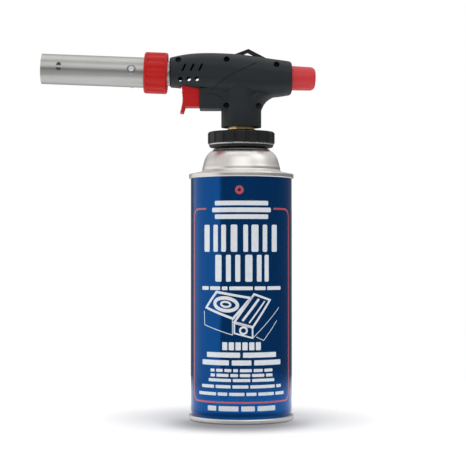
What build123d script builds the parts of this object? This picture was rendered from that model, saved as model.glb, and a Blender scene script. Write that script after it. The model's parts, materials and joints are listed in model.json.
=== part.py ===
from build123d import *
import os
from math import cos, pi, radians, sin

# A piezo-lit butane blow torch twisted onto its gas cartridge.
#
# Frame: millimetres, +Z up, origin at the centre of the cartridge's base, on the surface it
# stands on. The flame leaves towards -X, the gas knob is at +X, and the torch's left side is -Y.
# The barrel (flame tube, jet, valve and knob) lies on one axis that rises a little towards the
# flame. Barrel pieces are drawn on the plane `barrel`, whose x runs along that axis towards the
# flame and whose y is up, or on `across(s)`, a plane square to the axis at distance s.

os.makedirs("parts", exist_ok=True)

# --- Driving dimensions -------------------------------------------------------------------

# Cartridge
can_radius = 33.0
can_wall = 0.4
sheet = 0.5
seam_radius = 34.2
base_seam_height = 3.0
top_seam_low = 156.5
top_seam_high = 159.6
dome_foot_radius = 25.5
dome_top = 175.0
cup_wall_radius = 15.5
pedestal_top = 176.8
flange_low = 177.4
flange_high = 178.2
flange_radius = 18.9
flange_bore = 12.5
stem_radius = 2.0
stem_top = 183.95
stem_shoulder_low = 171.3
stem_shoulder_high = 174.1
valve_spring_low = 163.5

# Bayonet collar of the torch
collar_radius = 21.9
collar_low = 179.4
collar_high = 187.0
collar_hub_high = 188.6
plate_radius = 21.3
plate_low = 178.4
prong_radius = 14.2
prong_half_angle = 15.0
prong_turn = 40.0
plate_screw_circle = 16.5
plate_screw_head = 1.7
plate_screw_radius = 0.8
scallop_count = 18
neck_brass_radius = 8.5

# Barrel axis
axis_height = 223.8
barrel_tilt = 2.15

# Housing
wall = 2.0
parting_gap = 0.05
neck_low = 190.2
neck_radius = 13.1
neck_half_width = 13.0
guard_front = -27.3
guard_rear = -8.0
guard_low = 201.8
guard_high = 215.0
guard_half_width = 9.5
guard_floor = 1.3

# Burner, measured along the barrel axis from the origin's vertical
mix_radius = 8.2
mix_bore = 7.4
mix_rear = 43.4
mix_front = 104.0
ring_rear = 48.3
ring_front = 63.4
ring_radius = 13.5
flute_count = 16
flame_radius = 9.9
flame_bore = 9.2
flame_rear = 57.0
flame_front = 130.6
tube_screw_at = 71.5
window_at = 118.7
window_width = 3.0
window_height = 5.4
feature_lift = 6.0
electrode_offset = 5.4

# Valve and knob, along the same axis, negative towards the knob
block_rear = -14.0
block_front = 6.0
spindle_radius = 2.5
ring_groove_at = -9.3
knob_inner_end = -29.0
knob_outer_end = -48.8
knob_root_radius = 8.1
knob_end_radius = 7.6

# Trigger and igniter
trigger_half_width = 6.8
trigger_floor = 203.4
trigger_roof = 216.9
trigger_rear = -24.5
piezo_side = 7.5
piezo_height = 208.5
piezo_front = -29.5
piezo_rear = -13.3

# Housing screws: x and z of each
screw_seats = ((-40.9, 233.5), (-9.5, 233.5), (22.8, 230.2), (-9.8, 203.7), (11.2, 203.7))
raised_seat = screw_seats[3]
boss_radius = 2.9
screw_head_radius = 1.75
screw_head_depth = 1.3
screw_head_seat = 3.4
screw_radius = 1.3
screw_length = 9.0

# --- Shared planes and helpers ------------------------------------------------------------

forward = Vector(-cos(radians(barrel_tilt)), 0, sin(radians(barrel_tilt)))
barrel_origin = Vector(0, 0, axis_height)
barrel = Plane(origin=barrel_origin, x_dir=forward, z_dir=(0, 1, 0))
barrel_axis = Axis(barrel_origin, forward)


def across(s):
    """The plane square to the barrel axis at distance s: x towards -Y, y up, z to the flame."""
    return Plane(origin=barrel_origin + forward * s, x_dir=(0, -1, 0), z_dir=forward)


def station(x, z):
    """The plane square to +X at x and height z: x towards -Y, y up, z towards -X."""
    return Plane(origin=(x, 0, z), x_dir=(0, -1, 0), z_dir=(-1, 0, 0))


def side(y):
    """The XZ plane moved to y, with its normal towards -Y."""
    return Plane(origin=(0, y, 0), x_dir=(1, 0, 0), z_dir=(0, -1, 0))


def radial(s, lift, radius):
    """A plane tangent to the barrel at distance s, lift degrees above the left side."""
    outward = Vector(0, -cos(radians(lift)), sin(radians(lift)))
    outward = outward.rotate(Axis.Y, barrel_tilt)
    return Plane(origin=barrel_origin + forward * s + outward * radius, x_dir=forward, z_dir=outward)


def rings_of(builder, radius):
    """The circular edges of a turned piece that have this radius."""
    circles = builder.edges().filter_by(GeomType.CIRCLE)
    return circles.filter_by(lambda edge: abs(edge.radius - radius) < 0.01)


def outline(*points):
    """A closed face from straight runs, on the sketch that is open."""
    Polygon(*points, align=None)


written = []


def save(builder, name):
    """Labels a finished piece and writes it as its own STEP file."""
    builder.part.label = name
    export_step(builder.part, f"parts/{name}.step")
    written.append(name)


# --- Cartridge shell ----------------------------------------------------------------------

# Body: a rolled steel cylinder, necked in just above the base seam.
with BuildPart() as can_body:
    with BuildSketch(Plane.XZ):
        with BuildLine():
            neck_foot = (31.9, base_seam_height)
            neck_head = (can_radius, 7.2)
            ThreePointArc(neck_foot, (32.65, 4.9), neck_head)
            Polyline(neck_head, (can_radius, top_seam_low), (can_radius - can_wall, top_seam_low))
            Line((can_radius - can_wall, top_seam_low), (can_radius - can_wall, 7.2))
            ThreePointArc((can_radius - can_wall, 7.2), (32.25, 4.9), (31.5, base_seam_height))
            Line((31.5, base_seam_height), neck_foot)
        make_face()
    revolve(axis=Axis.Z)
save(can_body, "can_body")

# Bottom end: a double-seamed rim with a panel domed up into the can.
with BuildPart() as can_bottom:
    with BuildSketch(Plane.XZ):
        with BuildLine():
            Spline((0, 8.7), (16.0, 7.4), (30.9, 3.6), tangents=((1, 0), (1, -0.3)))
            Polyline((30.9, 3.6), (31.9, 0), (seam_radius, 0), (seam_radius, base_seam_height))
            Polyline((seam_radius, base_seam_height), (31.5, base_seam_height), (31.3, 4.2))
            Spline((31.3, 4.2), (16.0, 7.95), (0, 9.25), tangents=((-1, 0.3), (-1, 0)))
            Line((0, 9.25), (0, 8.7))
        make_face()
    revolve(axis=Axis.Z)
    fillet(rings_of(can_bottom, seam_radius), 0.75)
save(can_bottom, "can_bottom")

# Top end: seam hem, countersink, shallow shoulder and a steep dome up to the valve opening.
with BuildPart() as can_dome:
    with BuildSketch(Plane.XZ):
        with BuildLine():
            Polyline((15.8, dome_top - sheet), (15.8, dome_top), (18.2, dome_top))
            Spline(
                (18.2, dome_top),
                (20.8, 173.7),
                (22.9, 171.2),
                (24.3, 167.9),
                (25.2, 164.4),
                (dome_foot_radius, 162.4),
                tangents=((1, -0.12), (0.02, -1)),
            )
            ThreePointArc((dome_foot_radius, 162.4), (25.9, 161.4), (26.9, 160.9))
            Polyline((26.9, 160.9), (30.4, 160.2), (31.2, 158.4), (32.1, 158.4))
            Polyline((32.1, 158.4), (32.4, top_seam_high), (seam_radius, top_seam_high))
            Polyline((seam_radius, top_seam_high), (seam_radius, top_seam_low), (32.6, top_seam_low))
            Polyline((32.6, top_seam_low), (32.3, 157.8), (30.8, 157.8), (30.0, 159.75))
            Line((30.0, 159.75), (26.7, 160.4))
            ThreePointArc((26.7, 160.4), (25.4, 161.1), (25.0, 162.4))
            Spline(
                (25.0, 162.4),
                (24.7, 164.4),
                (23.8, 167.7),
                (22.5, 170.8),
                (20.5, 173.25),
                (18.15, dome_top - sheet),
                tangents=((-0.02, 1), (-1, 0.12)),
            )
            Line((18.15, dome_top - sheet), (15.8, dome_top - sheet))
        make_face()
    revolve(axis=Axis.Z)
    fillet(rings_of(can_dome, seam_radius), 0.75)
save(can_dome, "can_dome")

# --- Cartridge valve ----------------------------------------------------------------------

# Mounting cup: crimped over the dome's opening, with the pedestal that holds the valve.
with BuildPart() as valve_cup:
    with BuildSketch(Plane.XZ):
        outline(
            (cup_wall_radius, dome_top),
            (18.7, dome_top),
            (18.6, 175.4),
            (16.4, 176.8),
            (15.7, flange_low),
            (15.0, flange_low),
            (15.0, 171.5),
            (6.0, 171.5),
            (6.0, pedestal_top),
            (2.4, pedestal_top),
            (2.4, pedestal_top - sheet),
            (5.5, pedestal_top - sheet),
            (5.5, 171.0),
            (cup_wall_radius, 171.0),
        )
    revolve(axis=Axis.Z)
save(valve_cup, "valve_cup")

# Bayonet flange: a hemmed ring whose inner lip has three gaps for the torch's prongs and
# whose rim has one locating notch at the back.
gap_reach = 14.5
gap_angle = prong_half_angle + 1.5
with BuildPart() as bayonet_flange:
    with BuildSketch(Plane.XZ):
        outline(
            (flange_bore, flange_low),
            (18.1, flange_low),
            (18.1, flange_low - 0.4),
            (flange_radius, flange_low - 0.4),
            (flange_radius, flange_high),
            (flange_bore, flange_high),
        )
    revolve(axis=Axis.Z)
    with BuildSketch(Plane.XY.offset(flange_low - 1)):
        for turn in range(3):
            with Locations(Rot(0, 0, 120 * turn + 90 + prong_turn)):
                with BuildLine():
                    PolarLine((0, 0), gap_reach, -gap_angle)
                    rim = CenterArc((0, 0), gap_reach, -gap_angle, 2 * gap_angle)
                    Line(rim @ 1, (0, 0))
                make_face()
    extrude(amount=3, mode=Mode.SUBTRACT)
    with BuildSketch(Plane.XY.offset(flange_low - 1)):
        with Locations((0, flange_radius)):
            Rectangle(7.0, 5.0)
    extrude(amount=3, mode=Mode.SUBTRACT)
save(bayonet_flange, "bayonet_flange")

with BuildPart() as valve_gasket:
    with BuildSketch(Plane.XY.offset(175.3)):
        Circle(5.3)
        Circle(stem_radius + 0.06, mode=Mode.SUBTRACT)
    extrude(amount=pedestal_top - sheet - 175.3)
save(valve_gasket, "valve_gasket")

# Valve housing: a plastic pot that hangs under the pedestal and holds stem and spring.
with BuildPart() as valve_housing:
    with BuildSketch(Plane.XZ):
        outline(
            (1.0, 158.0),
            (2.6, 158.0),
            (2.6, 161.0),
            (5.0, 161.0),
            (5.0, 171.0),
            (5.3, 171.0),
            (5.3, 175.3),
            (3.1, 175.3),
            (3.1, valve_spring_low),
            (1.0, valve_spring_low),
        )
    revolve(axis=Axis.Z)
save(valve_housing, "valve_housing")

# Stem: a hollow pin with a sealing shoulder; its side port is opened when it is pressed.
with BuildPart() as valve_stem:
    with BuildSketch(Plane.XZ):
        outline(
            (0, stem_shoulder_low),
            (2.8, stem_shoulder_low),
            (2.8, stem_shoulder_high),
            (stem_radius, stem_shoulder_high),
            (stem_radius, stem_top - 0.4),
            (stem_radius - 0.4, stem_top),
            (0.7, stem_top),
            (0.7, stem_shoulder_high + 0.6),
            (0, stem_shoulder_high + 0.6),
        )
    revolve(axis=Axis.Z)
    with Locations(Location((0, 0, stem_shoulder_high + 1.0), (0, 90, 0))):
        Cylinder(0.35, 2 * stem_radius + 1, mode=Mode.SUBTRACT)
save(valve_stem, "valve_stem")

with BuildPart() as valve_spring:
    spring_wire = 0.25
    spring_height = stem_shoulder_low - valve_spring_low - 2 * spring_wire - 0.1
    with BuildLine():
        coil = Helix(
            pitch=spring_height / 6,
            height=spring_height,
            radius=2.3,
            center=(0, 0, valve_spring_low + spring_wire + 0.05),
        )
    with BuildSketch(Plane(origin=coil @ 0, z_dir=coil % 0)):
        Circle(spring_wire)
    sweep(path=coil, is_frenet=True)
save(valve_spring, "valve_spring")

# Eductor: a bent plastic tube that keeps its mouth in the vapour above the liquid.
with BuildPart() as eductor_tube:
    with BuildLine():
        drop = FilletPolyline((0, 0, 158.0), (0, 0, 149.0), (0, 12.0, 143.0), (0, 22.0, 147.0), radius=5)
    with BuildSketch(Plane(origin=drop @ 0, z_dir=drop % 0)):
        Circle(2.4)
        Circle(1.4, mode=Mode.SUBTRACT)
    sweep(path=drop)
save(eductor_tube, "eductor_tube")

# --- Bayonet collar -----------------------------------------------------------------------

# Plate screws: three countersunk screws up into the collar.
countersink = Align.CENTER, Align.CENTER, Align.MIN
with BuildPart() as plate_screws:
    with Locations(Plane.XY.offset(plate_low)):
        with PolarLocations(plate_screw_circle, 3, start_angle=30):
            Cone(plate_screw_head, plate_screw_radius, collar_low - plate_low, align=countersink)
            Cylinder(plate_screw_radius, 6.0, align=countersink)
save(plate_screws, "plate_screws")

# Collar: the scalloped black grip ring with a short conical hub round the brass neck, and a
# blind hole for each plate screw.
with BuildPart() as collar:
    with BuildSketch(Plane.XZ):
        outline(
            (neck_brass_radius, collar_low),
            (collar_radius - 0.5, collar_low),
            (collar_radius, collar_low + 0.5),
            (collar_radius, collar_high - 0.8),
            (collar_radius - 0.8, collar_high),
            (10.9, collar_high),
            (9.6, collar_hub_high),
            (neck_brass_radius, collar_hub_high),
        )
    revolve(axis=Axis.Z)
    with BuildSketch(Plane.XY.offset(collar_low - 1)):
        with PolarLocations(collar_radius + 0.35, scallop_count):
            Circle(1.15)
    extrude(amount=collar_high - collar_low + 2, mode=Mode.SUBTRACT)
    add(plate_screws.part, mode=Mode.SUBTRACT)
save(collar, "collar")

# Claw plate: a steel disc under the collar, with three prongs that pass the flange's gaps
# and turn in behind its lip.
with BuildPart() as claw_plate:
    with BuildSketch(Plane.XY.offset(plate_low)):
        Circle(plate_radius)
        Circle(neck_brass_radius, mode=Mode.SUBTRACT)
    extrude(amount=collar_low - plate_low)
    fillet(rings_of(claw_plate, plate_radius), 0.35)
    hook_low = flange_low - 1.4
    hook_high = flange_low - 0.25
    for low, high, inner, outer in (
        (hook_low, plate_low, 10.6, 12.1),
        (hook_low, hook_high, 10.6, prong_radius),
    ):
        with BuildSketch(Plane.XY.offset(low)):
            for turn in range(3):
                with Locations(Rot(0, 0, 120 * turn + 90)):
                    with BuildLine():
                        PolarLine((0, 0), outer, -prong_half_angle)
                        far = CenterArc((0, 0), outer, -prong_half_angle, 2 * prong_half_angle)
                        Line(far @ 1, (0, 0))
                    make_face()
            Circle(inner, mode=Mode.SUBTRACT)
        extrude(amount=high - low)
    add(plate_screws.part, mode=Mode.SUBTRACT)
save(claw_plate, "claw_plate")

# Guide ring: a black plastic lip under the plate that centres the torch on the flange.
with BuildPart() as guide_ring:
    with BuildSketch(Plane.XZ):
        outline(
            (flange_radius + 0.3, plate_low - 1.3),
            (20.4, plate_low - 1.3),
            (20.9, plate_low - 0.8),
            (20.9, plate_low),
            (flange_radius + 0.3, plate_low),
        )
    revolve(axis=Axis.Z)
save(guide_ring, "guide_ring")

# --- Valve block and gas train ------------------------------------------------------------

seal_low = 184.0
seal_high = 186.0
stem_socket = 197.0
with BuildPart() as valve_block:
    with BuildSketch(Plane.XY.offset(plate_low + 0.2)):
        Circle(neck_brass_radius)
    extrude(amount=stem_socket - plate_low - 0.2)
    with BuildSketch(Plane.XY.offset(stem_socket)):
        Circle(6.0)
    extrude(amount=axis_height - stem_socket)
    with BuildSketch(across(block_rear)):
        Circle(6.5)
    extrude(amount=block_front - block_rear)
    # Inlet socket and gas way up to the valve, then gland bore, shank bore, seat and outlet.
    with BuildSketch(Plane.XY.offset(plate_low)):
        Circle(4.2)
    extrude(amount=seal_high - plate_low, mode=Mode.SUBTRACT)
    with BuildSketch(Plane.XY.offset(seal_high - 1)):
        Circle(1.2)
    extrude(amount=axis_height - seal_high + 1, mode=Mode.SUBTRACT)
    for bore, start, end in (
        (3.6, block_rear - 1, -6.6),
        (2.3, -7.0, -2.0),
        (0.8, -2.5, 3.5),
        (1.9, 3.0, block_front + 1),
    ):
        with BuildSketch(across(start)):
            Circle(bore)
        extrude(amount=end - start, mode=Mode.SUBTRACT)
save(valve_block, "valve_block")

with BuildPart() as inlet_seal:
    with BuildSketch(Plane.XY.offset(seal_low)):
        Circle(4.2)
        Circle(1.2, mode=Mode.SUBTRACT)
    extrude(amount=seal_high - seal_low)
save(inlet_seal, "inlet_seal")

with BuildPart() as gland_nut:
    with BuildSketch(across(block_rear)):
        RegularPolygon(5.4, 6)
        Circle(spindle_radius + 0.05, mode=Mode.SUBTRACT)
    extrude(amount=-4.5)
    with BuildSketch(across(block_rear)):
        Circle(3.6)
        Circle(spindle_radius + 0.05, mode=Mode.SUBTRACT)
    extrude(amount=2.0)
save(gland_nut, "gland_nut")

# Spindle: plain shank, flange with the O-ring groove, and a needle that closes the seat.
with BuildPart() as spindle:
    with BuildSketch(barrel):
        outline(
            (-42.0, 0),
            (-42.0, spindle_radius),
            (ring_groove_at - 1.5, spindle_radius),
            (ring_groove_at - 1.5, 3.2),
            (ring_groove_at - 0.9, 3.2),
            (ring_groove_at - 0.9, 1.9),
            (ring_groove_at + 0.9, 1.9),
            (ring_groove_at + 0.9, 3.2),
            (ring_groove_at + 1.5, 3.2),
            (ring_groove_at + 1.5, 2.2),
            (-3.6, 2.2),
            (-2.8, 1.2),
            (-0.57, 0),
        )
    revolve(axis=barrel_axis)
save(spindle, "spindle")

with BuildPart() as spindle_o_ring:
    with Locations(across(ring_groove_at)):
        Torus(2.75, 0.68)
save(spindle_o_ring, "spindle_o_ring")

holder_rear = 36.6
with BuildPart() as jet_tube:
    with BuildSketch(across(3.5)):
        Circle(1.9)
        Circle(1.1, mode=Mode.SUBTRACT)
    extrude(amount=holder_rear + 4.0 - 3.5)
save(jet_tube, "jet_tube")

# Jet holder: a turned zinc plug in the tail of the mixing tube, with air holes round the jet.
flange_rear = mix_rear + 0.5
flange_front = flange_rear + 3.5
with BuildPart() as jet_holder:
    with BuildSketch(across(holder_rear)):
        Circle(4.2)
    extrude(amount=flange_rear - holder_rear)
    with BuildSketch(across(flange_rear)):
        Circle(mix_bore)
        with PolarLocations(electrode_offset, 6):
            Circle(1.35, mode=Mode.SUBTRACT)
    extrude(amount=flange_front - flange_rear)
    with BuildSketch(across(holder_rear - 1)):
        Circle(1.9)
    extrude(amount=flange_front - holder_rear + 2, mode=Mode.SUBTRACT)
save(jet_holder, "jet_holder")

with BuildPart() as jet:
    with BuildSketch(barrel):
        outline(
            (holder_rear + 4.0, 0.25),
            (holder_rear + 4.0, 1.9),
            (flange_front, 1.9),
            (flange_front, 3.0),
            (flange_front + 1.6, 3.0),
            (flange_front + 3.4, 1.2),
            (flange_front + 3.4, 0.25),
        )
    revolve(axis=barrel_axis)
save(jet, "jet")

# --- Burner -------------------------------------------------------------------------------

# Flame-tube screws: pan heads with a cross recess, one at each third of the turn.
dimple_floor = 8.95
dimple_radius = 2.1
tube_screw_radius = 0.9
with BuildPart() as flame_tube_screws:
    for screw in range(3):
        lift = feature_lift + 120 * screw
        with BuildSketch(radial(tube_screw_at, lift, mix_bore)):
            Circle(tube_screw_radius)
        extrude(amount=dimple_floor - mix_bore)
        with BuildSketch(radial(tube_screw_at, lift, dimple_floor)):
            Circle(1.85)
        extrude(amount=1.25, taper=12)
        with BuildSketch(radial(tube_screw_at, lift, dimple_floor + 0.6)):
            Rectangle(2.3, 0.6)
            Rectangle(0.6, 2.3)
        extrude(amount=2.0, mode=Mode.SUBTRACT)
save(flame_tube_screws, "flame_tube_screws")

# Mixing tube: air ports under the ring, and a tapped hole for each flame-tube screw.
port_at = 53.4
port_radius = 1.9
with BuildPart() as mixing_tube:
    with BuildSketch(across(mix_rear)):
        Circle(mix_radius)
        Circle(mix_bore, mode=Mode.SUBTRACT)
    extrude(amount=mix_front - 4.0 - mix_rear)
    for port in range(6):
        with BuildSketch(radial(port_at, 60 * port, 0)):
            Circle(port_radius)
        extrude(amount=mix_radius + 1, mode=Mode.SUBTRACT)
    add(flame_tube_screws.part, mode=Mode.SUBTRACT)
save(mixing_tube, "mixing_tube")

# Flame holder: a slotted steel cup that anchors the flame.
with BuildPart() as flame_holder:
    with BuildSketch(across(mix_front - 4.0)):
        Circle(flame_bore)
        with PolarLocations(3.4, 8):
            SlotOverall(2.6, 1.1, mode=Mode.SUBTRACT)
        with PolarLocations(6.3, 14, start_angle=360 / 28):
            Circle(0.7, mode=Mode.SUBTRACT)
        Circle(0.9, mode=Mode.SUBTRACT)
        with Locations((-electrode_offset, 0)):
            Circle(1.55, mode=Mode.SUBTRACT)
    extrude(amount=1.2)
    with BuildSketch(across(mix_front - 2.8)):
        Circle(flame_bore)
        Circle(flame_bore - 0.8, mode=Mode.SUBTRACT)
    extrude(amount=2.8)
save(flame_holder, "flame_holder")

# Flame tube: thin stainless tube. Three dimples seat it on the mixing tube, and a tongue
# lanced from the wall crosses each of the three windows near the mouth.
with BuildPart() as flame_tube:
    with BuildSketch(across(flame_rear)):
        Circle(flame_radius)
        Circle(flame_bore, mode=Mode.SUBTRACT)
    extrude(amount=flame_front - flame_rear)
    for feature in range(3):
        lift = feature_lift + 120 * feature
        with BuildSketch(radial(tube_screw_at, lift, mix_radius + 0.15)):
            Circle(3.5)
        extrude(amount=flame_bore + 0.2 - mix_radius - 0.15)
        with BuildSketch(radial(tube_screw_at, lift, dimple_floor)):
            Circle(dimple_radius)
        extrude(amount=2, taper=-42, mode=Mode.SUBTRACT)
        with BuildSketch(radial(tube_screw_at, lift, 0)):
            Circle(tube_screw_radius)
        extrude(amount=flame_radius + 1, mode=Mode.SUBTRACT)
        with BuildSketch(radial(window_at, lift, 0)):
            SlotCenterToCenter(window_height - window_width, window_width, rotation=90)
        extrude(amount=flame_radius + 1, mode=Mode.SUBTRACT)
        with BuildSketch(radial(window_at, lift, flame_bore - 0.75)):
            Rectangle(window_width + 1.2, 1.5)
        extrude(amount=1.0)
save(flame_tube, "flame_tube")

# --- Air ring -----------------------------------------------------------------------------

ring_shell = 1.8
web = 2.0
running = 0.06
shutter_front = 56.4
with BuildPart() as air_ring:
    with BuildSketch(barrel):
        outline(
            (ring_rear, mix_radius + running),
            (ring_rear, ring_radius - 0.8),
            (ring_rear + 0.8, ring_radius),
            (ring_front - 0.8, ring_radius),
            (ring_front, ring_radius - 0.8),
            (ring_front, ring_radius - ring_shell),
            (ring_rear + web, ring_radius - ring_shell),
            (ring_rear + web, mix_radius + running),
        )
    revolve(axis=barrel_axis)
    with BuildSketch(across(ring_rear + 1.6)):
        with PolarLocations(ring_radius + 3.3, flute_count, start_angle=7):
            Circle(3.9)
    extrude(amount=ring_front - ring_rear - 3.2, mode=Mode.SUBTRACT)
save(air_ring, "air_ring")

# Air shutter: a steel band inside the ring whose windows slide over the tube's air ports.
with BuildPart() as air_shutter:
    with BuildSketch(across(ring_rear + web)):
        Circle(mix_radius + running + 0.7)
        Circle(mix_radius + running, mode=Mode.SUBTRACT)
    extrude(amount=shutter_front - ring_rear - web)
    for port in range(6):
        with BuildSketch(radial(port_at, 60 * port, 0)):
            Circle(port_radius)
        extrude(amount=mix_radius + 2, mode=Mode.SUBTRACT)
save(air_shutter, "air_shutter")

# --- Knob ---------------------------------------------------------------------------------

with BuildPart() as knob:
    crown = -47.9
    with BuildSketch(barrel):
        with BuildLine():
            Polyline((-42.0, 0), (-42.0, spindle_radius), (knob_inner_end, spindle_radius))
            Polyline((knob_inner_end, spindle_radius), (knob_inner_end, 4.6), (-32.0, 4.6))
            Polyline((-32.0, 4.6), (-32.0, 6.4), (knob_inner_end, 6.4))
            Polyline((knob_inner_end, 6.4), (knob_inner_end, knob_root_radius))
            Polyline((knob_inner_end, knob_root_radius), (crown, knob_end_radius))
            ThreePointArc((crown, knob_end_radius), (-48.56, knob_end_radius / 2), (knob_outer_end, 0))
            Line((knob_outer_end, 0), (-42.0, 0))
        make_face()
    revolve(axis=barrel_axis)
    fillet(rings_of(knob, knob_end_radius), 3.6)
save(knob, "knob")

# --- Hanging loop -------------------------------------------------------------------------

loop_half_width = 2.2
with BuildPart() as hanging_loop:
    with BuildSketch(side(0)):
        Polygon((-6.4, 237.3), (4.7, 241.5), (17.8, 234.7), (16.6, 233.4), (-5.4, 235.4), align=None)
        Polygon((-0.9, 237.0), (4.1, 239.25), (11.4, 235.5), align=None, mode=Mode.SUBTRACT)
    extrude(amount=loop_half_width, both=True)
    fillet(hanging_loop.edges().filter_by(Axis.Y), 0.45)
save(hanging_loop, "hanging_loop")

# --- Housing ------------------------------------------------------------------------------

# Barrel sections: x, underside, top, width and corner radius.
barrel_sections = (
    (-46.7, 216.6, 235.7, 21.2, 8.2),
    (-40.0, 216.1, 237.1, 22.6, 8.6),
    (-27.0, 213.8, 238.5, 25.2, 9.5),
    (-10.0, 211.2, 238.3, 27.0, 10.4),
    (6.0, 209.9, 236.8, 27.4, 10.4),
    (17.0, 209.9, 235.2, 26.4, 10.0),
    (25.0, 210.6, 234.1, 24.8, 9.4),
    (33.0, 211.9, 232.9, 22.6, 8.8),
)
neck_top = 222.0
flare_front = 6.0
# Flare sections behind the neck: height, how far back they reach, and half width.
flare_sections = (
    (199.0, 11.9, 10.3),
    (202.0, 13.5, 10.8),
    (205.6, 15.3, 11.0),
    (208.4, 18.2, 11.0),
    (210.6, 22.5, 10.5),
    (213.0, 27.5, 9.6),
)


def barrel_form(inset):
    """The barrel of the housing, with every outer face moved in by inset."""
    first, last = barrel_sections[0][0], barrel_sections[-1][0]
    with BuildPart() as form:
        for x, low, high, width, corner in barrel_sections:
            x = min(max(x, first + inset), last - inset)
            with BuildSketch(station(x, (low + high) / 2)):
                RectangleRounded(width - 2 * inset, high - low - 2 * inset, corner - inset)
        loft()
        if not inset:
            fillet(form.faces().sort_by(Axis.X)[-1].edges(), 2.4)
            fillet(form.faces().sort_by(Axis.X)[0].edges(), 1.2)
    return form.part


def neck_form(inset):
    """The round neck, which runs up into the barrel's flanks."""
    low = neck_low + 1.2 * inset
    with BuildPart() as form:
        with BuildSketch(Plane.XY.offset(low)):
            Ellipse(neck_radius - inset, neck_half_width - inset)
        extrude(amount=neck_top - low)
    return form.part


def flare_form(inset):
    """The flare that carries the neck's back edge out into the barrel's underside."""
    with BuildPart() as form:
        for z, rear, half_width in flare_sections:
            with BuildSketch(Plane(origin=((rear - flare_front) / 2, 0, z))):
                Ellipse((rear + flare_front) / 2 - inset, half_width - inset)
        loft()
    return form.part


def guard_form(inset):
    """The square guard that the trigger slides into."""
    floor = guard_floor if inset > guard_floor else inset
    with BuildPart() as form:
        with BuildSketch(Plane.XY.offset(guard_low + floor)):
            with Locations(((guard_front + guard_rear + inset) / 2, 0)):
                Rectangle(guard_rear - guard_front - inset, 2 * (guard_half_width - inset))
        extrude(amount=guard_high - guard_low - floor)
        if not inset:
            fillet(form.edges().filter_by(Axis.Z).group_by(Axis.X)[0], 1.4)
            fillet(form.faces().sort_by(Axis.Z)[0].edges().group_by(Axis.X)[0], 0.6)
    return form.part


def housing_form(inset):
    """The whole housing as one block, with every outer face moved in by inset."""
    barrel_block = barrel_form(inset)
    neck_block = neck_form(inset)
    flare_block = flare_form(inset)
    guard_block = guard_form(inset)
    with BuildPart() as form:
        add(barrel_block)
        add(neck_block)
        add(flare_block)
        add(guard_block)
    return form.part


housing_outer = housing_form(0)
housing_inner = housing_form(wall)
crease_depth = 0.4
crease_core = housing_form(crease_depth)

# Ribs: a collar round the mixing tube, and two clamps that hold the piezo unit.
with BuildPart() as housing_ribs:
    with BuildSketch(station(-43.3, axis_height)):
        Rectangle(40, 60)
    extrude(amount=2.0)
    for clamp_x in (-17.2, -13.9):
        with BuildSketch(station(clamp_x, piezo_height)):
            Rectangle(30, piezo_side - 0.6)
            Rectangle(piezo_side, 60, mode=Mode.SUBTRACT)
        extrude(amount=1.4)
    add(housing_inner, mode=Mode.INTERSECT)

# Screw bosses run from wall to wall across the parting plane.
with BuildPart() as screw_bosses:
    with BuildSketch(side(0)):
        with Locations(*screw_seats):
            Circle(boss_radius)
    extrude(amount=20, both=True)
    add(housing_outer, mode=Mode.INTERSECT)
    with BuildSketch(side(-8.0)):
        with Locations(raised_seat):
            Circle(boss_radius)
    extrude(amount=1.6)

# Styling crease: a shallow groove that sweeps from the back of the barrel to the guard.
with BuildPart() as crease:
    with BuildSketch(side(0)):
        with BuildLine():
            Spline((9.4, 231.0), (-0.6, 226.1), (-11.2, 220.3), (-17.6, 215.3), (-20.8, 213.4))
            Spline((-22.3, 211.2), (-17.8, 211.0), (-13.6, 209.0), (-11.6, 206.9))
        trace(line_width=0.7)
    extrude(amount=30, both=True)
    add(crease_core, mode=Mode.SUBTRACT)

slot_half_width = trigger_half_width + 0.4
slit_lean = 64
slit_length = 5.3
with BuildPart() as housing:
    add(housing_outer)
    add(housing_inner, mode=Mode.SUBTRACT)
    add(housing_ribs.part)
    add(screw_bosses.part)
    add(crease.part, mode=Mode.SUBTRACT)
    # Bores for the mixing tube, the knob and the brass neck.
    for radius, start, end in ((mix_radius, 43.0, 60.0), (knob_root_radius + 0.5, -27.0, -45.0)):
        with BuildSketch(across(start)):
            Circle(radius)
        extrude(amount=end - start, mode=Mode.SUBTRACT)
    with BuildSketch(Plane.XY.offset(neck_low - 1)):
        Circle(neck_brass_radius)
    extrude(amount=6, mode=Mode.SUBTRACT)
    # Slot for the trigger: through the guard's front and the barrel's underside.
    for slot_front, slot_rear, slot_low in (
        (-39.8, -24.9, guard_low + guard_floor),
        (-39.8, -21.0, trigger_roof - 4.4),
    ):
        with BuildSketch(Plane.XY.offset(slot_low)):
            with Locations(((slot_front + slot_rear) / 2, 0)):
                Rectangle(slot_rear - slot_front, 2 * slot_half_width)
        extrude(amount=trigger_roof + 0.6 - slot_low, mode=Mode.SUBTRACT)
    # Vents: three slanted slits over three round holes on each side. The holes sit higher on
    # the right, so that a view from below passes through.
    for hole_z, through in ((220.8, 30), (222.3, -30)):
        with BuildSketch(side(0)):
            for slit_x, hole_x in ((-37.2, -39.6), (-31.8, -34.1), (-26.3, -28.8)):
                with Locations(Location((slit_x, 228.2), slit_lean)):
                    SlotOverall(slit_length, 1.25)
                with Locations((hole_x, hole_z)):
                    Circle(1.4)
        extrude(amount=through, mode=Mode.SUBTRACT)
    add(hanging_loop.part, mode=Mode.SUBTRACT)

with BuildPart() as housing_left:
    add(housing.part)
    for seat in screw_seats:
        with BuildSketch(side(-screw_head_seat)):
            with Locations(seat):
                Circle(screw_head_radius + 0.2)
        extrude(amount=20, mode=Mode.SUBTRACT)
        with BuildSketch(side(0)):
            with Locations(seat):
                Circle(screw_radius + 0.15)
        extrude(amount=screw_head_seat, mode=Mode.SUBTRACT)
    split(bisect_by=side(-parting_gap), keep=Keep.TOP)
save(housing_left, "housing_left")

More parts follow.
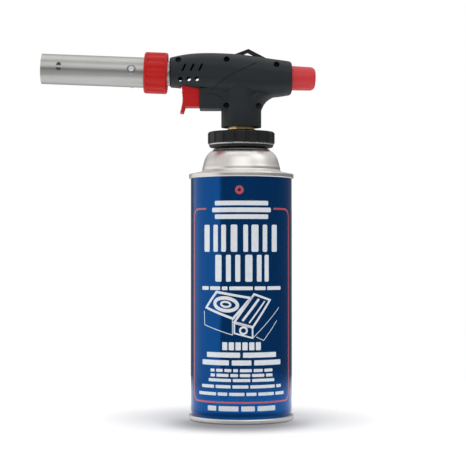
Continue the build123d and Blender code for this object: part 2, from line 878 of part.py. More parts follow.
with BuildPart() as housing_right:
    add(housing.part)
    for seat in screw_seats:
        with BuildSketch(side(0)):
            with Locations(seat):
                Circle(screw_radius)
        extrude(amount=-(screw_length - screw_head_seat + 0.6), mode=Mode.SUBTRACT)
    split(bisect_by=side(parting_gap), keep=Keep.BOTTOM)
save(housing_right, "housing_right")

with BuildPart() as housing_screws:
    for seat in screw_seats:
        with BuildSketch(side(screw_length - screw_head_seat)):
            with Locations(seat):
                Circle(screw_radius)
        extrude(amount=screw_length)
        with BuildSketch(side(-screw_head_seat)):
            with Locations(seat):
                Circle(screw_head_radius)
        extrude(amount=screw_head_depth)
        with BuildSketch(side(-screw_head_seat - screw_head_depth + 0.6)):
            with Locations(seat):
                Rectangle(2.2, 0.5)
                Rectangle(0.5, 2.2)
        extrude(amount=2, mode=Mode.SUBTRACT)
save(housing_screws, "housing_screws")

# --- Trigger and igniter ------------------------------------------------------------------

# Trigger: a hollow pad, ridged across its face, that slides into the guard.
ridge_count = 8
ridge_radius = 0.45
with BuildPart() as trigger:
    with BuildSketch(side(0)):
        with BuildLine():
            pull_face = Spline(
                (-39.0, trigger_roof),
                (-38.2, 212.2),
                (-37.9, 208.3),
                (-38.3, 204.6),
                (-39.0, 201.9),
                (-39.9, 199.5),
            )
            Polyline((-39.9, 199.5), (-37.9, 199.5), (-36.6, trigger_floor), (trigger_rear, trigger_floor))
            Polyline((trigger_rear, trigger_floor), (trigger_rear, 212.4), (-26.4, 212.4))
            Polyline((-26.4, 212.4), (-26.4, trigger_roof), (-39.0, trigger_roof))
        make_face()
        for ridge in range(ridge_count):
            with Locations(pull_face @ (0.24 + 0.56 * ridge / (ridge_count - 1))):
                Circle(ridge_radius)
    extrude(amount=trigger_half_width, both=True)
    with BuildSketch(station(-36.0, piezo_height)):
        Rectangle(piezo_side + 0.6, piezo_side + 1.0)
    extrude(amount=-20, mode=Mode.SUBTRACT)
save(trigger, "trigger")

plunger_front = -35.9
plunger_travel = 5.0
with BuildPart() as piezo_plunger:
    with BuildSketch(station(plunger_front + 6.6, piezo_height)):
        Circle(2.4)
    extrude(amount=6.6)
save(piezo_plunger, "piezo_plunger")

with BuildPart() as piezo_body:
    with BuildSketch(station(piezo_rear, piezo_height)):
        RectangleRounded(piezo_side, piezo_side, 1.0)
    extrude(amount=piezo_rear - piezo_front)
    with BuildSketch(station(piezo_front, piezo_height)):
        Circle(2.5)
    extrude(amount=-(plunger_travel + 0.6), mode=Mode.SUBTRACT)
save(piezo_body, "piezo_body")

with BuildPart() as trigger_spring:
    coil_wire = 0.3
    coil_length = piezo_front - plunger_front - 2 * coil_wire - 0.2
    with BuildLine():
        turns = Helix(
            pitch=coil_length / 4,
            height=coil_length,
            radius=3.0,
            center=(plunger_front + coil_wire + 0.1, 0, piezo_height),
            direction=(1, 0, 0),
        )
    with BuildSketch(Plane(origin=turns @ 0, z_dir=turns % 0)):
        Circle(coil_wire)
    sweep(path=turns, is_frenet=True)
save(trigger_spring, "trigger_spring")

# --- Spark line ---------------------------------------------------------------------------

insulator_rear = 60.0
insulator_front = 106.5
bore_line = Plane(
    origin=barrel_origin + Vector(0, electrode_offset, 0), x_dir=forward, z_dir=(0, 1, 0)
)
with BuildPart() as electrode_insulator:
    with BuildSketch(Plane(origin=bore_line.origin + forward * insulator_rear, z_dir=forward)):
        Circle(1.5)
        Circle(0.5, mode=Mode.SUBTRACT)
    extrude(amount=insulator_front - insulator_rear)
save(electrode_insulator, "electrode_insulator")

with BuildPart() as electrode:
    rod_start = bore_line.origin + forward * insulator_rear
    rod_bend = bore_line.origin + forward * 112.0
    rod_tip = rod_bend + forward * 1.5 + Vector(0, -4.0, 0)
    with BuildLine():
        rod = FilletPolyline(rod_start, rod_bend, rod_tip, radius=1.5)
    with BuildSketch(Plane(origin=rod @ 0, z_dir=rod % 0)):
        Circle(0.5)
    sweep(path=rod)
save(electrode, "electrode")

# Ignition wire: from the top of the piezo unit to the insulator's tail inside the tube.
wire_radius = 0.9
with BuildPart() as ignition_wire:
    wire_start = Vector(-17.5, 2.2, piezo_height + piezo_side / 2)
    wire_end = bore_line.origin + forward * insulator_rear
    with BuildLine():
        route = FilletPolyline(
            wire_start,
            wire_start + Vector(0, 0, 5.0),
            Vector(-21.5, 4.6, 222.5),
            bore_line.origin + forward * 30.0,
            wire_end,
            radius=3.2,
        )
    with BuildSketch(Plane(origin=route @ 0, z_dir=route % 0)):
        Circle(wire_radius)
    sweep(path=route)
save(ignition_wire, "ignition_wire")

print(len(written), "pieces written")
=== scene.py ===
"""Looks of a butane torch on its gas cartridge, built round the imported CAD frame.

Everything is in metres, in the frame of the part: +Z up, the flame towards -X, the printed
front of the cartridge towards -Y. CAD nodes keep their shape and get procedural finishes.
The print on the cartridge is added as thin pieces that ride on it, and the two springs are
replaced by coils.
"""

import json
import math

import bmesh
import bpy
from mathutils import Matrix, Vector


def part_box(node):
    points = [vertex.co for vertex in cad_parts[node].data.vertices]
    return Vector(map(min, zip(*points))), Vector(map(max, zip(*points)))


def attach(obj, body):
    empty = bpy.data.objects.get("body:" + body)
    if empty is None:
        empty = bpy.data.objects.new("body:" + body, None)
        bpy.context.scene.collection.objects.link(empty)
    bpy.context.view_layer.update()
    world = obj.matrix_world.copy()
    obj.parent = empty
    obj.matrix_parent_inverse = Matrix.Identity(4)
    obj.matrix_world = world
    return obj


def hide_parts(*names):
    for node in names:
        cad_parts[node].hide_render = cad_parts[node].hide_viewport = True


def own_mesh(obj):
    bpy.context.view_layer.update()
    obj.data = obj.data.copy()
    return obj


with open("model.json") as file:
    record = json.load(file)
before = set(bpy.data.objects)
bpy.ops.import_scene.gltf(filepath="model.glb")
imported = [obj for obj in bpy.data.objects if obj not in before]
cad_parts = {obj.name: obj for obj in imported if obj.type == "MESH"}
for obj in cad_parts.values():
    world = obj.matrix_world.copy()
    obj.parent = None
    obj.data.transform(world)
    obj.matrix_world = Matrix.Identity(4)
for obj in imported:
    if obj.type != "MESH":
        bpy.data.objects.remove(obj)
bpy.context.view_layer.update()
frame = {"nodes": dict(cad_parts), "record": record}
nodes = frame["nodes"]

MM = 0.001
BARREL_TILT = math.radians(2.15)


# --- Camera, lights, floor ----------------------------------------------------------------


camera_place = (-0.0054, -0.925, 0.1087)
camera_target = (-0.0054, 0.0, 0.1211)
camera_lens = 109.2


def put(name, data, place, aim):
    """Links a lamp or a camera that looks from its place at a point."""
    made = bpy.data.objects.new(name, data)
    bpy.context.scene.collection.objects.link(made)
    made.location = place
    made.rotation_mode = "QUATERNION"
    made.rotation_quaternion = (Vector(aim) - Vector(place)).to_track_quat("-Z", "Y")
    return made


def add_camera():
    """The photograph's view: level with the middle of the cartridge, looking slightly up."""
    data = bpy.data.cameras.new("camera")
    data.sensor_width = 36.0
    data.lens = camera_lens
    data.clip_start = 0.01
    data.clip_end = 50.0
    bpy.context.scene.camera = put("camera", data, camera_place, camera_target)


def add_softbox(name, place, aim, width, height, power):
    data = bpy.data.lights.new(name, "AREA")
    data.shape = "RECTANGLE"
    data.size = width
    data.size_y = height
    data.energy = power
    put(name, data, place, aim)


def add_softboxes():
    """A tall strip on the left, and wide boxes in front, on the right and above."""
    add_softbox("left_softbox", (-1.0, 0.12, 0.15), (0, 0.12, 0.14), 2.04, 0.7, 3.0)
    add_softbox("front_softbox", (0.0, -1.4, 1.05), (0, 0, 0.2), 1.7, 1.0, 3.6)
    add_softbox("right_softbox", (1.0, -0.45, 1.1), (0, 0, 0.2), 0.9, 0.8, 1.7)
    add_softbox("top_softbox", (0.0, 0.1, 1.3), (0, 0, 0.1), 1.3, 0.9, 2.6)


# Brightness of the studio against height: 0 is straight down, 0.5 the horizon, 1 straight up.
world_steps = ((0.36, 0.62), (0.43, 0.16), (0.57, 0.19), (0.68, 0.60), (0.90, 0.72), (1.0, 0.62))


def add_world():
    """White to the camera; to reflections, a studio that is dim at the horizon."""
    world = bpy.data.worlds.new("studio")
    bpy.context.scene.world = world
    world.use_nodes = True
    tree = world.node_tree
    tree.nodes.clear()
    coords = tree.nodes.new("ShaderNodeTexCoord")
    split = tree.nodes.new("ShaderNodeSeparateXYZ")
    tree.links.new(coords.outputs["Generated"], split.inputs[0])
    rise = tree.nodes.new("ShaderNodeValToRGB")
    steps = rise.color_ramp.elements
    steps[0].position, steps[0].color = world_steps[0][0], (*[world_steps[0][1]] * 3, 1)
    steps[1].position, steps[1].color = world_steps[-1][0], (*[world_steps[-1][1]] * 3, 1)
    for position, level in world_steps[1:-1]:
        steps.new(position).color = (level, level, level, 1)
    lift = tree.nodes.new("ShaderNodeMath")
    lift.operation = "MULTIPLY_ADD"
    lift.inputs[1].default_value = 0.5
    lift.inputs[2].default_value = 0.5
    tree.links.new(split.outputs["Z"], lift.inputs[0])
    tree.links.new(lift.outputs[0], rise.inputs[0])
    studio = tree.nodes.new("ShaderNodeBackground")
    studio.inputs["Strength"].default_value = 1.0
    tree.links.new(rise.outputs[0], studio.inputs["Color"])
    white = tree.nodes.new("ShaderNodeBackground")
    white.inputs["Color"].default_value = (1, 1, 1, 1)
    white.inputs["Strength"].default_value = 1.0
    path = tree.nodes.new("ShaderNodeLightPath")
    mix = tree.nodes.new("ShaderNodeMixShader")
    tree.links.new(path.outputs["Is Camera Ray"], mix.inputs[0])
    tree.links.new(studio.outputs[0], mix.inputs[1])
    tree.links.new(white.outputs[0], mix.inputs[2])
    output = tree.nodes.new("ShaderNodeOutputWorld")
    tree.links.new(mix.outputs[0], output.inputs["Surface"])


floor_radius = 0.32
floor_drop = 0.2 * MM
# The centre of the painted shadow on the floor, a little in front of the object.
painted_shadow_centre = (-0.002, -0.030, 0.0)
# Spans of distance, in metres: a painted shadow that goes from grey to white paper, then where the
# floor begins to glow.
painted_shadow_span = (0.014, 0.062)
glow_span = (0.045, 0.12)
# How bright the floor looks in reflections where it is far from the object.
far_span = (0.20, 0.31)
floor_in_gloss = 0.42


def add_floor():
    """A round pale floor: paper with a painted shadow near the object, glowing white where it runs
    out.
    """
    mesh = bpy.data.meshes.new("floor")
    shape = bmesh.new()
    bmesh.ops.create_circle(shape, cap_ends=True, segments=96, radius=floor_radius)
    shape.to_mesh(mesh)
    shape.free()
    floor = bpy.data.objects.new("floor", mesh)
    bpy.context.scene.collection.objects.link(floor)
    floor.location.z = -floor_drop
    # The paper's grey base colour is the painted shadow; the tint below turns it white away from
    # the shadow's centre.
    paper = Finish("floor_paper", (0.34, 0.34, 0.36), 0.9, 0.0, Specular_IOR_Level=0.1)
    from_painted_shadow = paper.node("VectorMath", operation="DISTANCE")
    paper.link(paper.place(), from_painted_shadow.inputs[0])
    from_painted_shadow.inputs[1].default_value = painted_shadow_centre
    # Mask of where the painted shadow gives way to white paper.
    clear = paper.span(from_painted_shadow.outputs["Value"], *painted_shadow_span)
    clear.node.interpolation_type = "SMOOTHERSTEP"
    paper.tint(clear, (0.94, 0.94, 0.945))
    distance = paper.node("VectorMath", operation="LENGTH")
    paper.link(paper.place(), distance.inputs[0])
    # The glow is weak near the object, which keeps the painted shadow grey.
    glow = paper.span(distance.outputs["Value"], *glow_span, 0.04, 0.40)
    paper.shader.inputs["Emission Color"].default_value = (1, 1, 1, 1)
    paper.link(glow, paper.shader.inputs["Emission Strength"])
    dim = paper.node("Emission")
    dim.inputs["Color"].default_value = (*[floor_in_gloss] * 3, 1)
    either = paper.node("MixShader")
    outer = paper.node("Math", operation="MULTIPLY")
    paper.link(paper.node("LightPath").outputs["Is Glossy Ray"], outer.inputs[0])
    paper.link(paper.span(distance.outputs["Value"], *far_span), outer.inputs[1])
    paper.link(outer.outputs[0], either.inputs[0])
    paper.link(paper.shader.outputs[0], either.inputs[1])
    paper.link(dim.outputs[0], either.inputs[2])
    paper.link(either.outputs[0], paper.tree.nodes["Material Output"].inputs["Surface"])
    mesh.materials.append(paper.material)


# --- Finishes -----------------------------------------------------------------------------


class Finish:
    """A Principled material that is built up in layers of procedural variation."""

    def __init__(self, name, color, roughness, metallic=0.0, **constants):
        self.material = bpy.data.materials.new(name)
        self.material.use_nodes = True
        self.material.diffuse_color = (*color, 1)
        self.tree = self.material.node_tree
        self.shader = self.tree.nodes["Principled BSDF"]
        self.shader.inputs["Base Color"].default_value = (*color, 1)
        self.shader.inputs["Roughness"].default_value = roughness
        self.shader.inputs["Metallic"].default_value = metallic
        for socket, value in constants.items():
            self.shader.inputs[socket.replace("_", " ")].default_value = value

    def node(self, kind, **settings):
        made = self.tree.nodes.new("ShaderNode" + kind)
        for key, value in settings.items():
            setattr(made, key, value)
        return made

    def link(self, source, target):
        self.tree.links.new(source, target)

    def place(self, stretch=(1, 1, 1), along_barrel=False):
        """Object coordinates in metres, stretched, and turned to the barrel's tilt if asked."""
        vector = self.node("TexCoord").outputs["Object"]
        if along_barrel:
            turned = self.node("Mapping")
            turned.inputs["Rotation"].default_value = (0, -BARREL_TILT, 0)
            self.link(vector, turned.inputs["Vector"])
            vector = turned.outputs[0]
        scaled = self.node("Mapping")
        scaled.inputs["Scale"].default_value = stretch
        self.link(vector, scaled.inputs["Vector"])
        return scaled.outputs[0]

    def rings(self):
        """Coordinates of distance from the can's axis and height, for turned and drawn metal."""
        split = self.node("SeparateXYZ")
        self.link(self.node("TexCoord").outputs["Object"], split.inputs[0])
        flat = self.node("CombineXYZ")
        self.link(split.outputs["X"], flat.inputs["X"])
        self.link(split.outputs["Y"], flat.inputs["Y"])
        radius = self.node("VectorMath", operation="LENGTH")
        self.link(flat.outputs[0], radius.inputs[0])
        joined = self.node("CombineXYZ")
        self.link(radius.outputs["Value"], joined.inputs["X"])
        self.link(split.outputs["Z"], joined.inputs["Z"])
        return joined.outputs[0]

    def noise(self, scale, vector=None, detail=3.0, roughness=0.5):
        made = self.node("TexNoise")
        made.inputs["Scale"].default_value = scale
        made.inputs["Detail"].default_value = detail
        made.inputs["Roughness"].default_value = roughness
        self.link(vector or self.place(), made.inputs["Vector"])
        return made.outputs["Fac"]

    def spots(self, scale, vector=None):
        made = self.node("TexVoronoi")
        made.inputs["Scale"].default_value = scale
        self.link(vector or self.place(), made.inputs["Vector"])
        return made.outputs["Distance"]

    def span(self, value, low, high, to_low=0.0, to_high=1.0):
        made = self.node("MapRange")
        for socket, number in (
            ("From Min", low),
            ("From Max", high),
            ("To Min", to_low),
            ("To Max", to_high),
        ):
            made.inputs[socket].default_value = number
        self.link(value, made.inputs["Value"])
        return made.outputs[0]

    def tint(self, mask, color):
        """Blends the base colour towards another where the mask is high."""
        base = self.shader.inputs["Base Color"]
        mix = self.node("Mix", data_type="RGBA")
        if base.is_linked:
            self.link(base.links[0].from_socket, mix.inputs["A"])
        else:
            mix.inputs["A"].default_value = base.default_value
        mix.inputs["B"].default_value = (*color, 1)
        self.link(mask, mix.inputs["Factor"])
        self.link(mix.outputs["Result"], base)
        return self

    def rough(self, mask, low, high):
        self.link(self.span(mask, 0.0, 1.0, low, high), self.shader.inputs["Roughness"])
        return self

    def bump(self, height, depth, strength=1.0):
        """Adds a relief of that depth in metres."""
        normal = self.shader.inputs["Normal"]
        made = self.node("Bump")
        made.inputs["Strength"].default_value = strength
        made.inputs["Distance"].default_value = depth
        self.link(height, made.inputs["Height"])
        if normal.is_linked:
            self.link(normal.links[0].from_socket, made.inputs["Normal"])
        self.link(made.outputs[0], normal)
        return self


def lacquer():
    """Blue lacquer over tinplate: tinted metal under a clear gloss, with faint scuffs."""
    made = Finish("blue_lacquer", (0.004, 0.082, 0.30), 0.15, 0.82, Specular_IOR_Level=0.3)
    streaks = made.noise(60, made.place((1, 1, 0.08)), 4)
    made.tint(made.span(streaks, 0.35, 0.75, 0.0, 0.35), (0.005, 0.066, 0.25))
    scuffs = made.noise(420, made.place((1, 1, 0.5)), 5, 0.65)
    made.rough(made.span(scuffs, 0.45, 0.75), 0.12, 0.26)
    made.bump(made.noise(900, detail=2), 0.000004)
    return made.material


def tinplate():
    """Bright drawn tinplate with rings from the press and a few dull patches."""
    made = Finish("tinplate", (0.84, 0.81, 0.785), 0.34, 1.0)
    made.tint(made.span(made.noise(90, detail=5), 0.5, 0.8, 0.0, 0.5), (0.72, 0.69, 0.66))
    rings = made.noise(2600, made.rings(), 2)
    made.rough(made.noise(160, detail=4), 0.26, 0.42)
    made.bump(rings, 0.000006)
    return made.material


def painted_shade_tinplate():
    """The valve cup's and the flange's tinplate: painted darker grey for the shade under the
    collar, with patchy tone, and duller than the dome's.
    """
    made = Finish("painted_shade_tinplate", (0.30, 0.29, 0.28), 0.45, 1.0)
    made.tint(made.span(made.noise(200, detail=4), 0.4, 0.8), (0.20, 0.20, 0.19))
    made.rough(made.noise(300, detail=3), 0.35, 0.55)
    return made.material


def stainless():
    """Drawn stainless tube: satin, with fine grain along the barrel and soft stains."""
    made = Finish("stainless", (0.46, 0.46, 0.445), 0.34, 1.0)
    grain = made.noise(700, made.place((0.03, 1, 1), True), 4, 0.6)
    cloud = made.noise(75, made.place((0.6, 1, 1), True), 4)
    made.tint(made.span(cloud, 0.4, 0.75, 0.0, 0.6), (0.40, 0.40, 0.38))
    made.tint(made.span(grain, 0.45, 0.8, 0.0, 0.45), (0.55, 0.55, 0.54))
    made.rough(grain, 0.26, 0.46)
    made.bump(grain, 0.00001)
    return made.material


def zinc():
    """Zinc-plated steel with a faint spangle."""
    made = Finish("zinc_steel", (0.70, 0.71, 0.72), 0.3, 1.0)
    made.tint(made.span(made.spots(900), 0.1, 0.6, 0.0, 0.5), (0.58, 0.59, 0.61))
    made.rough(made.noise(500, detail=4), 0.18, 0.42)
    made.bump(made.noise(2500, detail=2), 0.000006)
    return made.material


def black_steel():
    """Black-oxide screws, a little polished where a driver has turned them."""
    made = Finish("black_steel", (0.035, 0.035, 0.038), 0.42, 0.8)
    made.tint(made.span(made.noise(1200, detail=4), 0.55, 0.8, 0.0, 0.6), (0.14, 0.14, 0.15))
    made.rough(made.noise(700, detail=3), 0.32, 0.55)
    made.bump(made.noise(2400, detail=2), 0.00001)
    return made.material


def brass():
    """Turned brass with tool rings and light tarnish."""
    made = Finish("brass", (0.83, 0.60, 0.27), 0.25, 1.0)
    made.tint(made.span(made.noise(260, detail=5), 0.48, 0.75, 0.0, 0.7), (0.50, 0.33, 0.13))
    made.rough(made.noise(400, detail=3), 0.16, 0.4)
    made.bump(made.noise(2200, made.rings(), 2), 0.00001)
    return made.material


def moulded(name, color, worn, roughness, grain=0.00002, **constants):
    """Moulded plastic: spark-eroded grain, slow sheen changes and pale rubbed specks."""
    made = Finish(name, color, roughness, 0.0, **constants)
    made.tint(made.span(made.noise(45, detail=4), 0.4, 0.75, 0.0, 0.35), worn)
    specks = made.noise(1500, detail=4, roughness=0.7)
    made.tint(made.span(specks, 0.62, 0.8, 0.0, 0.5), worn)
    made.rough(made.noise(130, detail=5), roughness - 0.09, roughness + 0.1)
    made.bump(made.noise(2600, detail=3), grain)
    made.bump(made.noise(120, detail=2), 0.00003, 0.35)
    return made.material


def rubber():
    """Matt black seal rubber with a grey bloom."""
    made = Finish("rubber", (0.02, 0.02, 0.021), 0.7)
    made.tint(made.span(made.noise(300, detail=4), 0.45, 0.8, 0.0, 0.5), (0.05, 0.05, 0.05))
    made.rough(made.noise(200, detail=3), 0.6, 0.82)
    made.bump(made.noise(1500, detail=3), 0.00003)
    return made.material


def ceramic():
    """Glazed insulator ceramic, a little yellowed."""
    made = Finish("ceramic", (0.86, 0.85, 0.81), 0.3, 0.0, Coat_Weight=0.5)
    made.tint(made.span(made.noise(350, detail=4), 0.5, 0.8, 0.0, 0.5), (0.74, 0.71, 0.64))
    made.rough(made.noise(250, detail=3), 0.2, 0.4)
    made.bump(made.noise(1800, detail=2), 0.00001)
    return made.material


def ink(name, color, worn):
    """Printing ink: slightly uneven, and a little duller than the lacquer round it."""
    made = Finish(name, color, 0.32, 0.0, Coat_Weight=0.6, Coat_Roughness=0.1)
    made.tint(made.span(made.noise(1400, detail=4), 0.55, 0.85, 0.0, 0.5), worn)
    made.tint(made.span(made.noise(160, detail=3), 0.45, 0.8, 0.0, 0.3), worn)
    made.rough(made.noise(500, detail=4), 0.24, 0.42)
    return made.material


finishes = {
    "blue_lacquer": lacquer(),
    "tinplate": tinplate(),
    "stainless": stainless(),
    "zinc_steel": zinc(),
    "black_steel": black_steel(),
    "brass": brass(),
    "charcoal_plastic": moulded(
        "charcoal_plastic",
        (0.012, 0.017, 0.020),
        (0.028, 0.035, 0.040),
        0.5,
        Specular_IOR_Level=0.36,
    ),
    "black_plastic": moulded(
        "black_plastic",
        (0.008, 0.009, 0.010),
        (0.020, 0.021, 0.023),
        0.46,
        Specular_IOR_Level=0.36,
    ),
    "red_plastic": moulded(
        "red_plastic",
        (0.60, 0.006, 0.006),
        (0.64, 0.022, 0.022),
        0.44,
        0.00001,
        Specular_IOR_Level=0.26,
    ),
    "white_plastic": moulded("white_plastic", (0.78, 0.78, 0.75), (0.66, 0.65, 0.60), 0.45),
    "rubber": rubber(),
    "ceramic": ceramic(),
}
painted_shade_tin = painted_shade_tinplate()
knob_red = moulded(
    "knob_red",
    (0.72, 0.030, 0.040),
    (0.74, 0.07, 0.08),
    0.4,
    0.00001,
    Specular_IOR_Level=0.4,
)
white_ink = ink("white_ink", (0.86, 0.90, 0.94), (0.56, 0.62, 0.75))
red_ink = ink("red_ink", (0.60, 0.075, 0.085), (0.40, 0.06, 0.12))


def dress_cad():
    """Gives each CAD node the finish of its slot, apart from the knob, and the valve cup and
    flange, which get a darker tinplate as painted shade.
    """
    for part in frame["record"]["subparts"]:
        piece = nodes[part["node"]]
        chosen = finishes[part["material_slot"]]
        if part["node"] == "knob":
            chosen = knob_red
        # The valve cup and flange get the darker tinplate, a painted shade under the collar.
        elif part["node"] in ("bayonet_flange", "valve_cup"):
            chosen = painted_shade_tin
        piece.data.materials.clear()
        piece.data.materials.append(chosen)


# --- Print on the cartridge ---------------------------------------------------------------

can_low, can_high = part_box("can_body")
can_radius = (can_high.x - can_low.x) / 2
ink_foot = can_radius - 0.02 * MM
ink_face = can_radius + 0.05 * MM
wrap_step = math.radians(2.5)

# Heights of both panels' frames, and the artwork's places round the can in degrees.
panel_top = 136.2
panel_bottom = 13.6
panel_half_angle = 66.5
title_gap = (-43, 38)
back_turn = 128
seam_turn = 184


class Print:
    """Flat artwork, in millimetres of arc and height, that is wrapped round the can."""

    def __init__(self, turn=0.0, rise=0.0):
        self.shape = bmesh.new()
        self.turn = math.radians(turn)
        self.rise = rise * MM

    def polygon(self, points):
        corners = [self.shape.verts.new((x * MM, z * MM, 0)) for x, z in points]
        self.shape.faces.new(corners)

    def bar(self, centre, foot, width, height, corner=0.5, steps=3):
        """A block with rounded corners, standing on foot."""
        corner = min(corner, width / 2.01, height / 2.01)
        points = []
        for quarter, (sx, sz) in enumerate(((1, 1), (-1, 1), (-1, -1), (1, -1))):
            cx = centre + sx * (width / 2 - corner)
            cz = foot + height / 2 + sz * (height / 2 - corner)
            for step in range(steps + 1):
                angle = math.radians(90 * (quarter + step / steps))
                points.append((cx + corner * math.cos(angle), cz + corner * math.sin(angle)))
        self.polygon(points)

    def stroke(self, points, width, closed=False):
        """A line of even width through the points, mitred at each corner."""
        line = [Vector(p) for p in points]
        count = len(line)
        left, right = [], []
        for i, p in enumerate(line):
            before = line[i - 1] if closed or i else p
            after = line[(i + 1) % count] if closed or i < count - 1 else p
            first = (p - before).normalized() if p != before else (after - p).normalized()
            second = (after - p).normalized() if p != after else first
            mitre = Vector((-(first.y + second.y), first.x + second.x)).normalized()
            reach = width / 2 / max(mitre.dot(Vector((-first.y, first.x))), 0.3)
            left.append(p + mitre * reach)
            right.append(p - mitre * reach)
        for i in range(count if closed else count - 1):
            j = (i + 1) % count
            self.polygon([right[i], right[j], left[j], left[i]])

    def ring(self, centre, radii, width, lean=0.0, steps=28):
        """An ellipse drawn as a line, with its long axis leaning by that many degrees."""
        cos, sin = math.cos(math.radians(lean)), math.sin(math.radians(lean))
        points = []
        for step in range(steps):
            angle = math.tau * step / steps
            x, z = radii[0] * math.cos(angle), radii[1] * math.sin(angle)
            points.append((centre[0] + x * cos - z * sin, centre[1] + x * sin + z * cos))
        self.stroke(points, width, closed=True)

    def words(self, centre, foot, width, height, lengths, gap=1.2):
        """A line of plain dashes that stands for a line of small print."""
        scale = (width - gap * (len(lengths) - 1)) / sum(lengths)
        start = centre - width / 2
        for length in lengths:
            self.bar(start + length * scale / 2, foot, length * scale, height, 0.4, 2)
            start += length * scale + gap

    def wrap(self, name, material):
        """Cuts the artwork into narrow strips, rolls it round the can and gives it thickness."""
        half_turn = math.pi * can_radius
        count = round(math.tau / wrap_step)
        for cut in range(-count // 2, count // 2 + 1):
            at = cut * half_turn * 2 / count
            geometry = [*self.shape.verts, *self.shape.edges, *self.shape.faces]
            bmesh.ops.bisect_plane(
                self.shape, geom=geometry, plane_co=(at, 0, 0), plane_no=(1, 0, 0), dist=1e-7
            )
        bmesh.ops.recalc_face_normals(self.shape, faces=self.shape.faces)
        flats = {v: (v.co.x, v.co.y) for v in self.shape.verts}
        grown = bmesh.ops.extrude_face_region(
            self.shape, geom=list(self.shape.faces), use_keep_orig=True
        )
        raised = [g for g in grown["geom"] if isinstance(g, bmesh.types.BMVert)]
        for vert in raised:
            self.roll(vert, vert.co.x, vert.co.y, ink_face)
        for vert, (x, z) in flats.items():
            self.roll(vert, x, z, ink_foot)
        bmesh.ops.recalc_face_normals(self.shape, faces=self.shape.faces)
        mesh = bpy.data.meshes.new(name)
        self.shape.to_mesh(mesh)
        self.shape.free()
        mesh.materials.append(material)
        piece = bpy.data.objects.new(name, mesh)
        bpy.context.scene.collection.objects.link(piece)
        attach(piece, "canister")
        return piece

    def roll(self, vert, x, z, radius):
        angle = x / can_radius + self.turn
        vert.co = (radius * math.sin(angle), -radius * math.cos(angle), z + self.rise)


def arc_points(centre, radius, start, end, steps=6):
    points = []
    for step in range(steps + 1):
        angle = math.radians(start + (end - start) * step / steps)
        points.append((centre[0] + radius * math.cos(angle), centre[1] + radius * math.sin(angle)))
    return points


def panel_path(half, corner):
    """A rounded frame between the panels' heights, from its top left round to its top right."""
    top, bottom = panel_top - corner, panel_bottom + corner
    path = arc_points((-half + corner, top), corner, 90, 180)
    path += arc_points((-half + corner, bottom), corner, 180, 270)
    path += arc_points((half - corner, bottom), corner, 270, 360)
    path += arc_points((half - corner, top), corner, 0, 90)
    return path


def print_border():
    """The rounded red frame round the front panel, open at the top for the title band."""
    per_degree = math.radians(1) * can_radius / MM
    gap_left, gap_right = [(angle * per_degree, panel_top) for angle in title_gap]
    art = Print()
    frame_path = panel_path(panel_half_angle * per_degree, 5.5)
    art.stroke([gap_left, *frame_path, gap_right], 1.15)
    art.wrap("label_border", red_ink)


def print_seal():
    """A plain red disc with an open centre above the title band."""
    art = Print()
    art.ring((-1.4, 148.0), (1.9, 1.9), 1.7)
    art.wrap("label_seal", red_ink)


def print_title():
    """A pale band and two rows of plain blocks in place of the title."""
    art = Print()
    for row in range(3):
        art.bar(0.0, 129.6 + 4.3 * row, 39.5 - abs(row - 1) * 4.0, 2.9, 0.7)
    upper = ((-24.0, 4.4), (-17.2, 3.2), (-11.6, 3.2), (-4.8, 4.2))
    upper += ((2.6, 3.0), (8.6, 4.6), (15.4, 3.2), (22.6, 4.2))
    for centre, width in upper:
        art.bar(centre, 108.8, width, 17.2, 0.8)
    lower = ((-15.2, 4.4), (-8.4, 3.2), (-2.4, 3.2), (4.6, 4.6), (11.4, 3.2), (16.6, 3.0))
    for centre, width in lower:
        art.bar(centre, 89.9, width, 17.0, 0.8)
    art.words(0.0, 84.6, 56.5, 2.3, (3, 4, 2, 8, 4, 6))
    art.wrap("label_title", white_ink)


def print_picture():
    """A plain line drawing of a flat stove: a plate with a round burner, and a cartridge bay."""
    art = Print(rise=1.8)
    plate = ((-24.5, 71.6), (-5.5, 64.8), (5.8, 77.8), (-16.5, 81.6))
    art.stroke(plate, 1.5, closed=True)
    art.ring((-10.2, 73.8), (7.6, 4.0), 2.2, -6)
    art.ring((-10.2, 73.8), (3.1, 1.6), 1.3, -6)
    art.stroke([(-26.4, 69.4), (-26.0, 60.6), (-5.6, 54.4)], 0.45)
    art.stroke([(-5.8, 54.4), (-5.8, 64.0)], 0.45)
    bay = ((-4.6, 62.6), (7.2, 59.4), (19.0, 76.4), (8.0, 80.2))
    art.stroke(bay, 1.3, closed=True)
    art.stroke([(0.6, 63.4), (11.2, 77.2)], 1.5)
    art.stroke([(4.8, 62.0), (15.2, 75.8)], 1.0)
    front = ((-4.6, 62.0), (7.0, 59.0), (7.0, 52.6), (-4.6, 55.6))
    art.stroke(front, 1.0, closed=True)
    art.ring((1.2, 57.3), (2.2, 2.1), 1.2)
    art.stroke([(7.6, 53.0), (26.6, 71.6)], 0.4)
    art.stroke([(9.4, 53.2), (14.4, 50.9), (24.8, 63.4)], 0.4)
    art.wrap("label_picture", white_ink)


def print_small_lines():
    """Plain dashes in place of the small print on the front."""
    art = Print()
    art.words(0.0, 46.7, 25.0, 5.0, (4, 4, 4, 4, 4, 4), 1.0)
    art.words(0.0, 42.0, 48.0, 3.2, (9, 9), 1.8)
    art.words(0.0, 37.1, 56.0, 3.2, (8, 5, 8), 1.8)
    art.words(0.0, 32.9, 42.0, 1.9, (2, 3, 3, 2, 5, 4, 4))
    art.words(0.0, 29.8, 42.0, 1.9, (2, 5, 3, 4, 5, 3))
    art.words(0.0, 26.7, 45.0, 1.9, (10, 7, 10))
    art.words(0.0, 22.6, 57.0, 2.0, (7, 7, 7, 12, 3))
    art.words(0.0, 17.9, 63.0, 2.0, (9, 4, 6, 4, 7, 5))
    art.words(0.0, 8.2, 46.5, 3.1, (3, 6, 4, 6), 1.8)
    art.wrap("label_lines", white_ink)


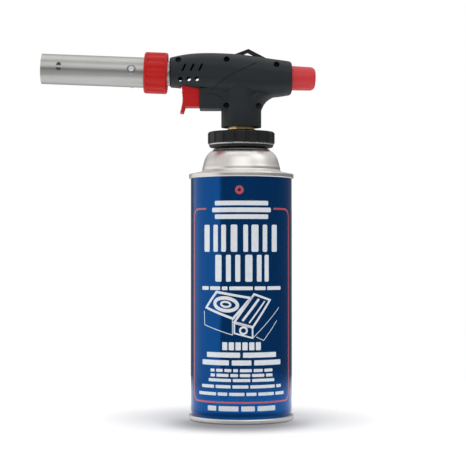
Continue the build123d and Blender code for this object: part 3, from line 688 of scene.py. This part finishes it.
def print_back():
    """The back panel: a heading bar over a block of plain dashes, and a thin frame."""
    rows, row_step, full_width, short_width = 17, 5.4, 40.0, 24.0
    art = Print(turn=back_turn)
    art.bar(0.0, 126.0, 34.0, 5.0, 0.6)
    for row in range(rows):
        full = row % 6 != 5
        width = full_width if full else short_width
        lengths = [3 + (row * 5 + word * 3) % 6 for word in range(6 if full else 4)]
        art.words((width - full_width) / 2, 117.0 - row_step * row, width, 1.8, lengths)
    art.wrap("label_back_lines", white_ink)
    frame_art = Print(turn=back_turn)
    frame_art.stroke(panel_path(24.0, 4.0), 0.9, closed=True)
    frame_art.wrap("label_back_border", red_ink)


def print_seam():
    """The can's welded side seam: a bare strip of tinplate down the back."""
    foot, top_margin, width = 7.6, 0.8, 2.6
    art = Print(turn=seam_turn)
    art.bar(0.0, foot, width, can_high.z / MM - top_margin - foot, 0.2, 1)
    seam = art.wrap("side_seam", finishes["tinplate"])


# --- Springs ------------------------------------------------------------------------------


coil_steps = 24
wire_sides = 8


def add_coil(name, node, body, joint, along, travel, turns, wire, seat_is_low):
    """A wound spring in a CAD node's place, which it hides.

    along is the index of its axis, and seat_is_low picks an end called its seat, which is not
    used.
    """
    low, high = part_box(node)
    middle = (low + high) / 2
    across = [axis for axis in range(3) if axis != along]
    mean = (high[across[0]] - low[across[0]]) / 2 - wire
    start, length = low[along] + wire, high[along] - low[along] - 2 * wire
    steps = turns * coil_steps
    shape = bmesh.new()
    loops = []
    for step in range(steps + 1):
        angle = math.tau * step / coil_steps
        loop = []
        for side in range(wire_sides):
            round_wire = math.tau * side / wire_sides
            reach = mean + wire * math.cos(round_wire)
            point = Vector(middle)
            point[along] = start + length * step / steps + wire * math.sin(round_wire)
            point[across[0]] += reach * math.cos(angle)
            point[across[1]] += reach * math.sin(angle)
            loop.append(shape.verts.new(point))
        loops.append(loop)
    for one, two in zip(loops, loops[1:]):
        for side in range(wire_sides):
            other = (side + 1) % wire_sides
            shape.faces.new((one[side], one[other], two[other], two[side]))
    shape.faces.new(loops[0])
    shape.faces.new(loops[-1][::-1])
    bmesh.ops.recalc_face_normals(shape, faces=shape.faces)
    for face in shape.faces:
        face.smooth = True
    mesh = bpy.data.meshes.new(name)
    shape.to_mesh(mesh)
    shape.free()
    mesh.materials.append(finishes["zinc_steel"])
    coil = bpy.data.objects.new(name, mesh)
    bpy.context.scene.collection.objects.link(coil)
    seat = Vector(middle)
    seat[along] = low[along] if seat_is_low else high[along]
    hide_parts(node)
    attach(coil, body)
    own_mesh(coil)


def add_trigger_coil():
    travel, turns, wire = 5.0 * MM, 5, 0.3 * MM
    names = ("trigger_return_coil", "trigger_spring", "torch_head", "trigger_pull")
    add_coil(*names, 0, travel, turns, wire, seat_is_low=False)


def add_valve_coil():
    travel, turns, wire = 0.8 * MM, 6, 0.25 * MM
    names = ("valve_return_coil", "valve_spring", "canister", "stem_press")
    add_coil(*names, 2, travel, turns, wire, seat_is_low=True)


# --- The scene ----------------------------------------------------------------------------

scene = bpy.context.scene
scene.view_settings.view_transform = "Standard"
scene.view_settings.look = "None"
scene.view_settings.exposure = 0.0

add_camera()
add_world()
add_floor()
add_softboxes()
dress_cad()
print_border()
print_seal()
print_title()
print_picture()
print_small_lines()
print_back()
print_seam()
add_trigger_coil()
add_valve_coil()
